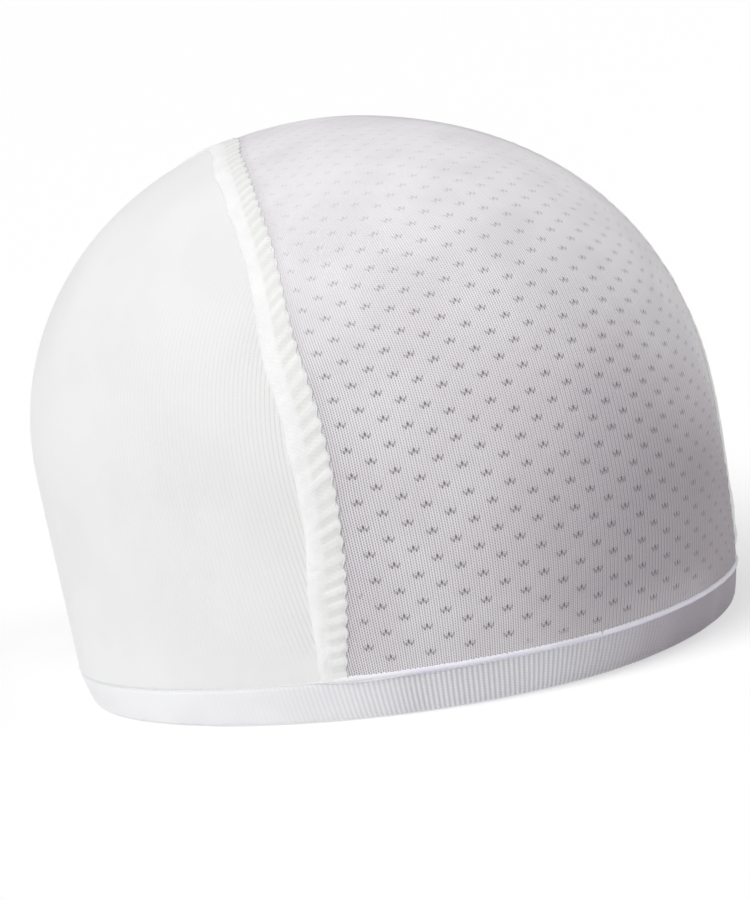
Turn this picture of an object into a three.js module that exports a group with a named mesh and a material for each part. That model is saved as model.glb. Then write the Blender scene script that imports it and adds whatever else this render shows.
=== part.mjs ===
// Helmet liner cap: a thin skull cap of three knit panels on a ribbed rim band.
// Millimetres, +Z up. The wearer faces -Y, so the wearer's right is -X. The rim rests on z = 0.
import * as THREE from 'three';

// Dome sizes
const CROWN_HEIGHT = 128.2;     // floor to the highest point
const WIDE_HEIGHT = 52.5;       // height of the widest level
const HALF_WIDTH = 80.7;        // at the widest level
const FRONT_LENGTH = 100.4;
const BACK_LENGTH = 95;
const RIM_HALF_WIDTH = 83.4;    // at the floor
const RIM_FRONT = 82.8;
const RIM_BACK = 75;
const CROWN_SET_BACK = 15.8;    // the crown leans back from the rim's centre

// Roundness of the dome: 2 is an ellipse, more is fuller, less is more pointed
const PLAN_ROUND = 1.86;
const SIDE_ROUND = 2.08;
const FRONT_ROUND = 2.65;
const BACK_ROUND = 1.7;

// Rim sizes
const BAND_LINE = 11;           // height of the line between band and panels at the forehead
const BAND_THICKNESS = 2.2;
const BAND_EDGE = 0.8;          // rounding of the band's edges
const NAPE_DIP = 4.6;           // how much lower that line lies at the nape
const DIP_FADE = 35;            // the dip is gone this far above the line
const FRONT_DRAW_IN = 0.5;      // the elastic draws the rim's edge in
const NAPE_DRAW_IN = 1.5;
const DRAW_IN_ROUND = 1.5;      // how evenly the drawing in fades up the band
const NAPE_SPREAD = 0.8;        // the nape's dip grows with this share of one less the facing to the front
const PIPING_RADIUS = 0.8;
const PIPING_DEPTH = 0.3;       // bead centre below the cloth's face

// Cloth and seams
const MESH_THICKNESS = 1.3;
const JERSEY_THICKNESS = 1.2;
const STRIP_FRONT_HALF_WIDTH = 61.5;  // of the centre strip, straight across
const STRIP_CROWN_HALF_WIDTH = 24;
const STRIP_BACK_HALF_WIDTH = 59.8;
const STRIP_SET_OVER = 5.7;     // the worn cap is pulled this far to the wearer's left
const TAPE_WIDTH_RIM = 6;
const TAPE_WIDTH_CROWN = 8.7;
const RIDGE_HEIGHT = 1.6;       // folded edge of the seam, on the side panel
const LADDER_HEIGHT = 0.9;      // overlocked allowance, lying on the mesh
const GAP = 0.3;                // between touching pieces
const RIM_GAP = 0.4;

// Facets
const STRIP_ROWS = 48;
const STRIP_COLUMNS = 16;
const SIDE_ROWS = 36;
const SIDE_COLUMNS = 11;
const TAPE_ROWS = 60;
const RIM_STATIONS = 90;
const RAY_STEPS = 40;
const PIPING_SIDES = 6;
const SLOPE_STEP = 0.01;        // radians either side, where a slope is measured
const RAY_REACH = 2 * (CROWN_HEIGHT + HALF_WIDTH + FRONT_LENGTH + BACK_LENGTH);

const PANEL_FOOT = BAND_LINE + PIPING_RADIUS + RIM_GAP;
const BAND_TOP = BAND_LINE - PIPING_RADIUS - RIM_GAP;

// Strip width from front rim (0 degrees) over the crown to back rim (180 degrees).
// waist: share of the way from the rim's width to the crown's width.
const STRIP_TABLE = [
  { along: 0, waist: 0 },
  { along: 25, waist: 0.03 },
  { along: 50, waist: 0.07 },
  { along: 72, waist: 0.33 },
  { along: 90, waist: 0.68 },
  { along: 104, waist: 1 },
  { along: 135, waist: 0.37 },
  { along: 160, waist: 0.11 },
  { along: 180, waist: 0 },
];

// Seam tape profile. across: share of the width, from mesh side to jersey side.
// ladder and ridge: shares of those two heights, added.
const TAPE_PROFILE = [
  { across: 0.5, ladder: 0, ridge: 0 },
  { across: 0.5, ladder: 0, ridge: 0.45 },
  { across: 0.4, ladder: 0, ridge: 1 },
  { across: 0.15, ladder: 0, ridge: 0.95 },
  { across: 0.02, ladder: 1, ridge: 0 },
  { across: -0.4, ladder: 1, ridge: 0 },
  { across: -0.5, ladder: 0.55, ridge: 0 },
  { across: -0.5, ladder: 0, ridge: 0 },
  { across: 0, ladder: 0, ridge: 0 },
];

const LOOKS = {
  mesh: { color: 0xe6e4ea, roughness: 0.9, metalness: 0 },
  jersey: { color: 0xf3f4f2, roughness: 0.88, metalness: 0 },
  rib: { color: 0xeef0f3, roughness: 0.85, metalness: 0 },
  thread: { color: 0xf6f6f8, roughness: 0.7, metalness: 0 },
};

const clamp = THREE.MathUtils.clamp;
const mix = THREE.MathUtils.lerp;

// Half width, front and back reach and centre of the dome's outline at height z
function outlineAt(z) {
  const rise = clamp((z - WIDE_HEIGHT) / (CROWN_HEIGHT - WIDE_HEIGHT), 0, 1);
  const fall = clamp((WIDE_HEIGHT - z) / WIDE_HEIGHT, 0, 1) ** 2;
  const close = (round) => (1 - rise ** round) ** (1 / round);
  return {
    side: mix(HALF_WIDTH, RIM_HALF_WIDTH, fall) * close(SIDE_ROUND),
    front: mix(FRONT_LENGTH, RIM_FRONT, fall) * close(FRONT_ROUND),
    back: mix(BACK_LENGTH, RIM_BACK, fall) * close(BACK_ROUND),
    centre: CROWN_SET_BACK * z / CROWN_HEIGHT,
  };
}

function isOutside(p) {
  if (p.z >= CROWN_HEIGHT) return true;
  const outline = outlineAt(p.z);
  const y = p.y - outline.centre;
  const reach = y < 0 ? outline.front : outline.back;
  return (Math.abs(p.x) / outline.side) ** PLAN_ROUND + (Math.abs(y) / reach) ** PLAN_ROUND > 1;
}

// Where a ray from inside meets the dome, before the rim's dip
function hitDome(origin, direction) {
  let near = 0;
  let far = RAY_REACH;
  for (let step = 0; step < RAY_STEPS; step++) {
    const middle = (near + far) / 2;
    if (isOutside(origin.clone().addScaledVector(direction, middle))) far = middle;
    else near = middle;
  }
  return origin.clone().addScaledVector(direction, near);
}

// 0 at the forehead, 1 over the nape
function napeShare(p) {
  const toFront = -p.y / Math.max(Math.hypot(p.x, p.y), 1e-6);
  return clamp((1 - toFront) * NAPE_SPREAD, 0, 1);
}

// The rim's line dips at the nape, and the elastic draws the edge in
function dipRim(p) {
  const nape = napeShare(p);
  const above = clamp(1 - (p.z - BAND_LINE) / DIP_FADE, 0, 1) ** 2;
  const below = clamp(p.z / BAND_LINE, 0, 1);
  const drop = NAPE_DIP * nape * (p.z >= BAND_LINE ? above : below);
  const edge = clamp(1 - p.z / BAND_LINE, 0, 1) ** DRAW_IN_ROUND;
  const shrink = 1 - mix(FRONT_DRAW_IN, NAPE_DRAW_IN, nape) * edge / Math.max(Math.hypot(p.x, p.y), 1e-6);
  return new THREE.Vector3(p.x * shrink, p.y * shrink, p.z - drop);
}

const DOME_CENTRE = new THREE.Vector3(0, 0, PANEL_FOOT);

// Point of the cloth's face in a direction from the dome's centre, raised along its normal
function clothPoint(direction, raise) {
  const face = dipRim(hitDome(DOME_CENTRE, direction));
  if (raise === 0) return face;
  const side = Math.abs(direction.z) > 0.9 ? new THREE.Vector3(1, 0, 0) : new THREE.Vector3(0, 0, 1);
  const first = direction.clone().cross(side).normalize();
  const second = direction.clone().cross(first);
  const slope = (tangent) => {
    const ahead = direction.clone().addScaledVector(tangent, SLOPE_STEP).normalize();
    const behind = direction.clone().addScaledVector(tangent, -SLOPE_STEP).normalize();
    return dipRim(hitDome(DOME_CENTRE, ahead)).sub(dipRim(hitDome(DOME_CENTRE, behind)));
  };
  const normal = slope(first).cross(slope(second)).normalize();
  if (normal.dot(direction) < 0) normal.negate();
  return face.addScaledVector(normal, raise);
}

// Smooth curve through a table's rows, with no overshoot
function readTable(rows, key, value, at) {
  const span = (k) => (rows[k + 1][value] - rows[k][value]) / (rows[k + 1][key] - rows[k][key]);
  const slope = (k) => {
    if (k === 0 || k === rows.length - 1) return 0;
    const product = span(k - 1) * span(k);
    return product <= 0 ? 0 : 2 * product / (span(k - 1) + span(k));
  };
  let k = 0;
  while (k < rows.length - 2 && at > rows[k + 1][key]) k++;
  const width = rows[k + 1][key] - rows[k][key];
  const t = clamp((at - rows[k][key]) / width, 0, 1);
  return rows[k][value] * (1 + 2 * t) * (1 - t) ** 2 + rows[k + 1][value] * t * t * (3 - 2 * t)
    + width * (slope(k) * t * (1 - t) ** 2 - slope(k + 1) * t * t * (1 - t));
}

// Half width of the strip, straight across, at an angle over the head
function stripHalf(angle) {
  const overCrown = THREE.MathUtils.smoothstep(angle, Math.PI / 3, 2 * Math.PI / 3);
  const rimHalf = mix(STRIP_FRONT_HALF_WIDTH, STRIP_BACK_HALF_WIDTH, overCrown);
  const waist = readTable(STRIP_TABLE, 'along', 'waist', THREE.MathUtils.radToDeg(angle));
  return mix(rimHalf, STRIP_CROWN_HALF_WIDTH, waist);
}

// Straight sideways distance of a line beside a seam, along the cloth towards the side panel.
// sign is -1 on the wearer's right, 1 on the left.
function besideSeam(sign, angle, distance) {
  const seam = sign * stripHalf(angle) + STRIP_SET_OVER;
  return HALF_WIDTH * Math.sin(Math.asin(seam / HALF_WIDTH) + sign * distance / HALF_WIDTH);
}

// Direction to the cloth at a straight sideways distance and an angle over the head
function directionAt(x, angle) {
  const origin = new THREE.Vector3(x, 0, PANEL_FOOT);
  const over = new THREE.Vector3(0, -Math.cos(angle), Math.sin(angle));
  return hitDome(origin, over).sub(DOME_CENTRE).normalize();
}

// One closed mesh from faces given as loops of points
function makeSolid(name, look, faces) {
  const numbers = new Map();
  const positions = [];
  const index = [];
  const numberOf = (p) => {
    const key = p.toArray().map((value) => Math.round(value * 2000)).join();
    if (!numbers.has(key)) {
      numbers.set(key, numbers.size);
      positions.push(p.x, p.y, p.z);
    }
    return numbers.get(key);
  };
  for (const face of faces) {
    const corners = face.map(numberOf);
    for (let k = 1; k + 1 < corners.length; k++) {
      const triangle = [corners[0], corners[k], corners[k + 1]];
      if (new Set(triangle).size === 3) index.push(...triangle);
    }
  }
  const geometry = new THREE.BufferGeometry();
  geometry.setAttribute('position', new THREE.Float32BufferAttribute(positions, 3));
  if (signedVolume(positions, index) < 0) {
    for (let k = 0; k < index.length; k += 3) [index[k], index[k + 1]] = [index[k + 1], index[k]];
  }
  geometry.setIndex(index);
  geometry.computeVertexNormals();
  const mesh = new THREE.Mesh(geometry, new THREE.MeshStandardMaterial(look));
  mesh.name = name;
  return mesh;
}

function signedVolume(positions, index) {
  const corner = (k) => new THREE.Vector3().fromArray(positions, 3 * index[k]);
  let volume = 0;
  for (let k = 0; k < index.length; k += 3) {
    volume += corner(k).dot(corner(k + 1).cross(corner(k + 2))) / 6;
  }
  return volume;
}

// A cloth panel: a grid of directions, given a thickness inwards and closed round its edge
function clothPanel(name, look, thickness, rows, columns, directionOf) {
  const grid = (raise) => {
    const points = [];
    for (let i = 0; i <= rows; i++) {
      points.push([]);
      for (let j = 0; j <= columns; j++) {
        points[i].push(clothPoint(directionOf(i / rows, j / columns), raise));
      }
    }
    return points;
  };
  const outer = grid(0);
  const inner = grid(-thickness);
  const faces = [];
  for (let i = 0; i < rows; i++) {
    for (let j = 0; j < columns; j++) {
      faces.push([outer[i][j], outer[i + 1][j], outer[i + 1][j + 1], outer[i][j + 1]]);
      faces.push([inner[i][j], inner[i][j + 1], inner[i + 1][j + 1], inner[i + 1][j]]);
    }
    faces.push([outer[i][0], inner[i][0], inner[i + 1][0], outer[i + 1][0]]);
    const last = columns;
    faces.push([outer[i][last], outer[i + 1][last], inner[i + 1][last], inner[i][last]]);
  }
  for (let j = 0; j < columns; j++) {
    faces.push([outer[0][j], outer[0][j + 1], inner[0][j + 1], inner[0][j]]);
    faces.push([outer[rows][j], inner[rows][j], inner[rows][j + 1], outer[rows][j + 1]]);
  }
  return makeSolid(name, look, faces);
}

// A section carried along stations, either round in a loop or closed by end faces
function sweep(name, look, sections, isLoop) {
  const faces = [];
  const last = isLoop ? sections.length : sections.length - 1;
  for (let i = 0; i < last; i++) {
    const here = sections[i];
    const next = sections[(i + 1) % sections.length];
    here.forEach((point, j) => {
      const k = (j + 1) % here.length;
      faces.push([point, here[k], next[k], next[j]]);
    });
  }
  if (!isLoop) {
    faces.push([...sections[0]].reverse(), sections[sections.length - 1]);
  }
  return makeSolid(name, look, faces);
}

// Centre strip of mesh knit, from the forehead over the crown to the nape
function meshPanel() {
  const directionOf = (along, across) => {
    const angle = Math.PI * along;
    const rightEdge = besideSeam(-1, angle, -GAP / 2);
    const leftEdge = besideSeam(1, angle, -GAP / 2);
    return directionAt(mix(rightEdge, leftEdge, across), angle);
  };
  return clothPanel('mesh_panel', LOOKS.mesh, MESH_THICKNESS, STRIP_ROWS, STRIP_COLUMNS, directionOf);
}

// Plain jersey panel between a seam and the rim
function sidePanel(name, sign) {
  const seamDirection = (angle) => directionAt(besideSeam(sign, angle, GAP / 2), angle);
  const bearing = (direction) => Math.atan2(sign * direction.x, -direction.y);
  const frontBearing = bearing(seamDirection(0));
  const backBearing = bearing(seamDirection(Math.PI));
  const directionOf = (along, down) => {
    const turn = mix(frontBearing, backBearing, along);
    const rim = new THREE.Vector3(sign * Math.sin(turn), -Math.cos(turn), 0);
    return seamDirection(Math.PI * along).lerp(rim, down).normalize();
  };
  return clothPanel(name, LOOKS.jersey, JERSEY_THICKNESS, SIDE_ROWS, SIDE_COLUMNS, directionOf);
}

// Overlocked seam allowance lying outside over the joint between two panels
function seamTape(name, sign) {
  const sections = [];
  for (let i = 0; i <= TAPE_ROWS; i++) {
    const angle = Math.PI * i / TAPE_ROWS;
    const width = mix(TAPE_WIDTH_RIM, TAPE_WIDTH_CROWN, Math.sin(angle));
    sections.push(TAPE_PROFILE.map((row) => {
      const x = besideSeam(sign, angle, row.across * width);
      const height = GAP + row.ladder * LADDER_HEIGHT + row.ridge * RIDGE_HEIGHT;
      return clothPoint(directionAt(x, angle), height);
    }));
  }
  return sweep(name, LOOKS.thread, sections, false);
}

// Point near the rim at a bearing, a height and a depth in from the cloth's face
function rimPoint(bearing, height, depth) {
  const outline = outlineAt(height);
  const onOutline = (turn) => {
    const x = Math.sin(turn);
    const y = -Math.cos(turn);
    const reach = y < 0 ? outline.front : outline.back;
    const size = (Math.abs(x) / outline.side) ** PLAN_ROUND + (Math.abs(y) / reach) ** PLAN_ROUND;
    const radius = size ** (-1 / PLAN_ROUND);
    return new THREE.Vector3(x * radius, y * radius + outline.centre, height);
  };
  const tangent = onOutline(bearing + SLOPE_STEP).sub(onOutline(bearing - SLOPE_STEP)).normalize();
  const outward = new THREE.Vector3(tangent.y, -tangent.x, 0);
  return dipRim(onOutline(bearing).addScaledVector(outward, -depth));
}

// Ribbed band with rounded edges. At the nape its lower edge turns under.
function ribBand() {
  const sections = [];
  for (let i = 0; i < RIM_STATIONS; i++) {
    const bearing = 2 * Math.PI * i / RIM_STATIONS;
    const turned = BAND_THICKNESS + NAPE_DIP * napeShare(rimPoint(bearing, 0, 0));
    const section = [
      [BAND_EDGE, 0],
      [BAND_EDGE / 4, BAND_EDGE],
      [0, BAND_LINE / 3],
      [0, BAND_TOP - BAND_EDGE],
      [BAND_EDGE / 2, BAND_TOP],
      [BAND_THICKNESS - BAND_EDGE / 2, BAND_TOP],
      [BAND_THICKNESS, BAND_TOP - BAND_EDGE],
      [BAND_THICKNESS, BAND_THICKNESS + BAND_EDGE],
      [turned, BAND_THICKNESS],
      [turned, 0],
    ];
    sections.push(section.map(([depth, height]) => rimPoint(bearing, height, depth)));
  }
  return sweep('rib_band', LOOKS.rib, sections, true);
}

// Rolled bead along the line between band and panels
function rimPiping() {
  const sections = [];
  for (let i = 0; i < RIM_STATIONS; i++) {
    const bearing = 2 * Math.PI * i / RIM_STATIONS;
    const section = [];
    for (let k = 0; k < PIPING_SIDES; k++) {
      const turn = 2 * Math.PI * (k + 0.5) / PIPING_SIDES;
      const depth = PIPING_DEPTH + PIPING_RADIUS * Math.cos(turn);
      section.push(rimPoint(bearing, BAND_LINE + PIPING_RADIUS * Math.sin(turn), depth));
    }
    sections.push(section);
  }
  return sweep('rim_piping', LOOKS.rib, sections, true);
}

const group = new THREE.Group();
group.add(meshPanel());
group.add(sidePanel('side_panel_right', -1));
group.add(sidePanel('side_panel_left', 1));
group.add(seamTape('seam_right', -1));
group.add(seamTape('seam_left', 1));
group.add(ribBand());
group.add(rimPiping());

// The origin is on the floor, below the middle of the whole cap
const reach = new THREE.Box3().setFromObject(group);
group.position.y = -(reach.min.y + reach.max.y) / 2;
export default group;
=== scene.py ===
# Looks of a helmet liner cap: knit panels, overlocked seams, piping and a ribbed band.
# Shapes are worked out in millimetres from the rim's centre, with +Z up and the forehead at -Y.
import bmesh
import bpy
import math
import numpy as np
from mathutils import Matrix, Vector


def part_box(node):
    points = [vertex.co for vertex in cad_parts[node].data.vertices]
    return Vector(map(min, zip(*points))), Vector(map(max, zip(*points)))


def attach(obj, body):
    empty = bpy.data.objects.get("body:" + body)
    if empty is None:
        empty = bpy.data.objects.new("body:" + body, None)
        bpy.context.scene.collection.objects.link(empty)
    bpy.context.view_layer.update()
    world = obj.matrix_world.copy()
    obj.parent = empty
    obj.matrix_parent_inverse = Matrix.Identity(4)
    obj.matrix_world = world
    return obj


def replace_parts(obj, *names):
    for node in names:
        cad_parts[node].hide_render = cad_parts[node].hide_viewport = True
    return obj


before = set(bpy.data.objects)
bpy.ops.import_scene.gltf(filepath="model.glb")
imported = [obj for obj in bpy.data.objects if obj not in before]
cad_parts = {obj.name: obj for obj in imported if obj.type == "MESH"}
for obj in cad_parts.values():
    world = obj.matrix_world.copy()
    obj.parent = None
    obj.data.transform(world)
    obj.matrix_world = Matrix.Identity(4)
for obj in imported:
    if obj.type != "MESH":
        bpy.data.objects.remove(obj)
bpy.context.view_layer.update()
MM = 0.001

# Dome sizes
CROWN_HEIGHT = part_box("mesh_panel")[1].z / MM
WIDE_HEIGHT = 52.5
HALF_WIDTH = 80.7
FRONT_LENGTH = 100.4
BACK_LENGTH = 95.0
RIM_HALF_WIDTH = 83.4
RIM_FRONT = 82.8
RIM_BACK = 75.0
CROWN_SET_BACK = 15.8
PLAN_ROUND = 1.86
SIDE_ROUND = 2.08
FRONT_ROUND = 2.65
BACK_ROUND = 1.7

# Rim sizes
BAND_LINE = 11.0
BAND_THICKNESS = 2.2
NAPE_DIP = 4.6
DIP_FADE = 35.0
FRONT_DRAW_IN = 0.5
NAPE_DRAW_IN = 1.5
DRAW_IN_ROUND = 1.5
NAPE_SPREAD = 0.8
DOME_FOOT = 12.2

# Cloth and seams
MESH_THICKNESS = 1.3
JERSEY_THICKNESS = 1.2
STRIP_FRONT_HALF = 61.5
STRIP_CROWN_HALF = 24.0
STRIP_BACK_HALF = 59.8
STRIP_SET_OVER = 5.7       # the worn cap is pulled this far to the wearer's left
STRIP_ALONG = (0, 25, 50, 72, 90, 104, 135, 160, 180)
STRIP_WAIST = (0, 0.03, 0.07, 0.33, 0.68, 1, 0.37, 0.11, 0)
TAPE_WIDTH_RIM = 6.0
TAPE_WIDTH = 8.2           # from a little above the rim
TAPE_WIDENS = 10.0         # degrees over the head in which most of that comes

# Mesh knit: eyelets stand in columns, every second one half a row higher
COLUMNS_AT_CROWN = 13.1    # from the middle to the right seam
COLUMNS_AT_RIM = 14.5
COLUMN_SPREAD = 30.0       # the columns draw in to this half width, and the strip to less
RIM_FLARE = 30.0           # degrees over the head in which the columns draw together
CENTRE_COLUMN = 0.3        # the middle of the head, in columns
FIRST_COLUMN, LAST_COLUMN = -15.5, 20.0
HALF_ROWS = 142            # up the front, over the crown and down the back
ROW_COLUMNS = (-10, -5, -1, 4, 9, 19)
ROW_START = (0.0, 1.3, 2.6, 4.2, 4.6, 4.6)          # first row's height on each of those columns
ROW_PITCH = (3.13, 3.26, 3.24, 3.08, 2.86, 3.05)    # half a row, at the rim
ROW_CLOSING = 0.01         # each half row is this much lower than the one below it
CLOSING_ROWS = 40          # up to this one
WALES = 8                  # fine wales in a column
MESH_ROWS = 3              # rows of points in half a row
COURSES = 5                # courses of the fine knit in half a row
EYELET_DROP = 0.25         # the lower pinholes of an eyelet, in half rows below the upper ones
EYELET_DEPTH = 0.2

WALE_HEIGHT = 0.03
FOOT_FLARE = 0.4           # the strip swells out to the bead at its foot
PAINTED_SHADE_X = (-34, -10, 11, 40)          # painted shade, darker towards the wearer's left, at these places
PAINTED_SHADE_SHARE = (0.0, 0.46, 0.7, 0.97)  # by these shares, set to match the photograph's shade

# Jersey, rim and seams
JERSEY_WALE = 1.2
JERSEY_COURSE = 0.7
JERSEY_LEAN = 0.18         # its wales lean forward towards the rim
PUCKER = 0.1               # the jersey's dents beside a seam
RIB_PITCH = 1.17
RIB_HEIGHT = 0.14
RIB_POINTS = 4             # in a rib's pitch
RIB_STITCH = 0.8
BAND_EDGE = 1.1
BEAD_TWIST = 1.3
BEAD_SIDES = 14
RUNG_PITCH = 3.1           # of the overlocking, at the rim
SCALLOP = 0.2              # the looped edge swings out this far at each rung
LOOP_SIDES = 8

# How finely the meshes are cut
LINING_ROWS, LINING_COLUMNS = 90, 40
PANEL_ROWS, PANEL_COLUMNS = 260, 90
BEAD_STATIONS = 2600
SEAM_STATIONS = 1300
SEAM_SAMPLES = 1441
SEAM_PAST_RIM = 0.02       # a seam runs on this far under the bead, in radians over the head

SLOPE_STEP = 0.004
RAY_REACH = 280.0
RAY_STEPS = 32
rng = np.random.default_rng(7)


def mix(a, b, t):
    return a + (b - a) * t


def smooth(t):
    t = np.clip(t, 0, 1)
    return t * t * (3 - 2 * t)


def fade(value, start, end):
    """0 at the start and 1 at the end, smooth between them, whichever of the two is larger."""
    return smooth((value - start) / (end - start))


def outline_at(z):
    """Half width, front and back reach and centre of the dome's outline at height z."""
    rise = np.clip((z - WIDE_HEIGHT) / (CROWN_HEIGHT - WIDE_HEIGHT), 0, 1)
    fall = np.clip((WIDE_HEIGHT - z) / WIDE_HEIGHT, 0, 1) ** 2

    def close(power):
        return (1 - rise ** power) ** (1 / power)

    side = mix(HALF_WIDTH, RIM_HALF_WIDTH, fall) * close(SIDE_ROUND)
    front = mix(FRONT_LENGTH, RIM_FRONT, fall) * close(FRONT_ROUND)
    back = mix(BACK_LENGTH, RIM_BACK, fall) * close(BACK_ROUND)
    return side, front, back, CROWN_SET_BACK * z / CROWN_HEIGHT


def is_outside(p):
    side, front, back, centre = outline_at(p[..., 2])
    y = p[..., 1] - centre
    reach = np.where(y < 0, front, back)
    tiny = 1e-9
    size = (np.abs(p[..., 0]) / np.maximum(side, tiny)) ** PLAN_ROUND
    size += (np.abs(y) / np.maximum(reach, tiny)) ** PLAN_ROUND
    return (size > 1) | (p[..., 2] >= CROWN_HEIGHT)


def hit_dome(origin, direction):
    """Where rays from inside meet the dome, before the rim's dip."""
    near = np.zeros(direction.shape[:-1])
    far = np.full(direction.shape[:-1], RAY_REACH)
    for _ in range(RAY_STEPS):
        middle = (near + far) / 2
        out = is_outside(origin + direction * middle[..., None])
        far = np.where(out, middle, far)
        near = np.where(out, near, middle)
    return origin + direction * near[..., None]


def nape_share(x, y):
    return np.clip((1 + y / np.maximum(np.hypot(x, y), 1e-6)) * NAPE_SPREAD, 0, 1)


def dip_rim(p):
    """The rim's line dips at the nape, and the elastic draws the edge in."""
    x, y, z = p[..., 0], p[..., 1], p[..., 2]
    nape = nape_share(x, y)
    above = np.clip(1 - (z - BAND_LINE) / DIP_FADE, 0, 1) ** 2
    below = np.clip(z / BAND_LINE, 0, 1)
    drop = NAPE_DIP * nape * np.where(z >= BAND_LINE, above, below)
    edge = np.clip(1 - z / BAND_LINE, 0, 1) ** DRAW_IN_ROUND
    shrink = 1 - mix(FRONT_DRAW_IN, NAPE_DRAW_IN, nape) * edge / np.maximum(np.hypot(x, y), 1e-6)
    return np.stack([x * shrink, y * shrink, z - drop], -1)


DOME_CENTRE = np.array([0.0, 0.0, DOME_FOOT])


def unit(v):
    return v / np.linalg.norm(v, axis=-1, keepdims=True)


def face_and_normal(direction):
    """Points of the cloth's face in directions from the dome's centre, and the normals there."""
    face = dip_rim(hit_dome(DOME_CENTRE, direction))
    steep = np.abs(direction[..., 2:]) > 0.9
    side = np.where(steep, [1.0, 0, 0], [0, 0, 1.0])
    first = unit(np.cross(direction, side))
    second = np.cross(direction, first)

    def slope(tangent):
        ahead = unit(direction + tangent * SLOPE_STEP)
        behind = unit(direction - tangent * SLOPE_STEP)
        return dip_rim(hit_dome(DOME_CENTRE, ahead)) - dip_rim(hit_dome(DOME_CENTRE, behind))

    normal = unit(np.cross(slope(first), slope(second)))
    outward = np.sum(normal * direction, -1, keepdims=True) > 0
    return face, np.where(outward, normal, -normal)


def read_table(at, keys, values):
    """Smooth curve through a table's rows, with no overshoot."""
    keys, values = np.asarray(keys, float), np.asarray(values, float)
    spans = np.diff(values) / np.diff(keys)
    product = spans[:-1] * spans[1:]
    total = np.where(product > 0, spans[:-1] + spans[1:], 1)
    slopes = np.concatenate([[0], np.where(product > 0, 2 * product / total, 0), [0]])
    k = np.clip(np.searchsorted(keys, at, side="right") - 1, 0, len(keys) - 2)
    width = keys[k + 1] - keys[k]
    t = np.clip((at - keys[k]) / width, 0, 1)
    ends = values[k] * (1 + 2 * t) * (1 - t) ** 2 + values[k + 1] * t * t * (3 - 2 * t)
    return ends + width * (slopes[k] * t * (1 - t) ** 2 - slopes[k + 1] * t * t * (1 - t))


def strip_half(angle):
    """Half width of the centre strip, straight across, at an angle over the head."""
    over_crown = smooth((angle - math.pi / 3) / (math.pi / 3))
    rim_half = mix(STRIP_FRONT_HALF, STRIP_BACK_HALF, over_crown)
    waist = read_table(np.degrees(angle), STRIP_ALONG, STRIP_WAIST)
    return mix(rim_half, STRIP_CROWN_HALF, waist)


def seam_x(sign, angle, distance=0.0):
    """Straight sideways distance of a line beside a seam, along the cloth towards the side panel."""
    seam = sign * strip_half(angle) + STRIP_SET_OVER
    return HALF_WIDTH * np.sin(np.arcsin(seam / HALF_WIDTH) + sign * distance / HALF_WIDTH)


def direction_at(x, angle):
    """Directions to the cloth at a straight sideways distance and an angle over the head."""
    x, angle = np.broadcast_arrays(np.asarray(x, float), angle)
    nothing = np.zeros_like(x)
    origin = np.stack([x, nothing, nothing + DOME_FOOT], -1)
    over = np.stack([nothing, -np.cos(angle), np.sin(angle)], -1)
    return unit(hit_dome(origin, over) - DOME_CENTRE)


# The frame's origin is below the middle of the whole cap, and this dome's is at the rim's centre
front_line = np.radians(np.linspace(0, 40, 401))
front_reach = dip_rim(hit_dome(DOME_CENTRE, direction_at(0.0, front_line)))[:, 1].min()
ORIGIN_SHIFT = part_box("mesh_panel")[0].y / MM - front_reach


def to_frame(points):
    """Millimetres on this dome to metres in the frame."""
    return (points + [0, ORIGIN_SHIFT, 0]) * MM


# Materials

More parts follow.
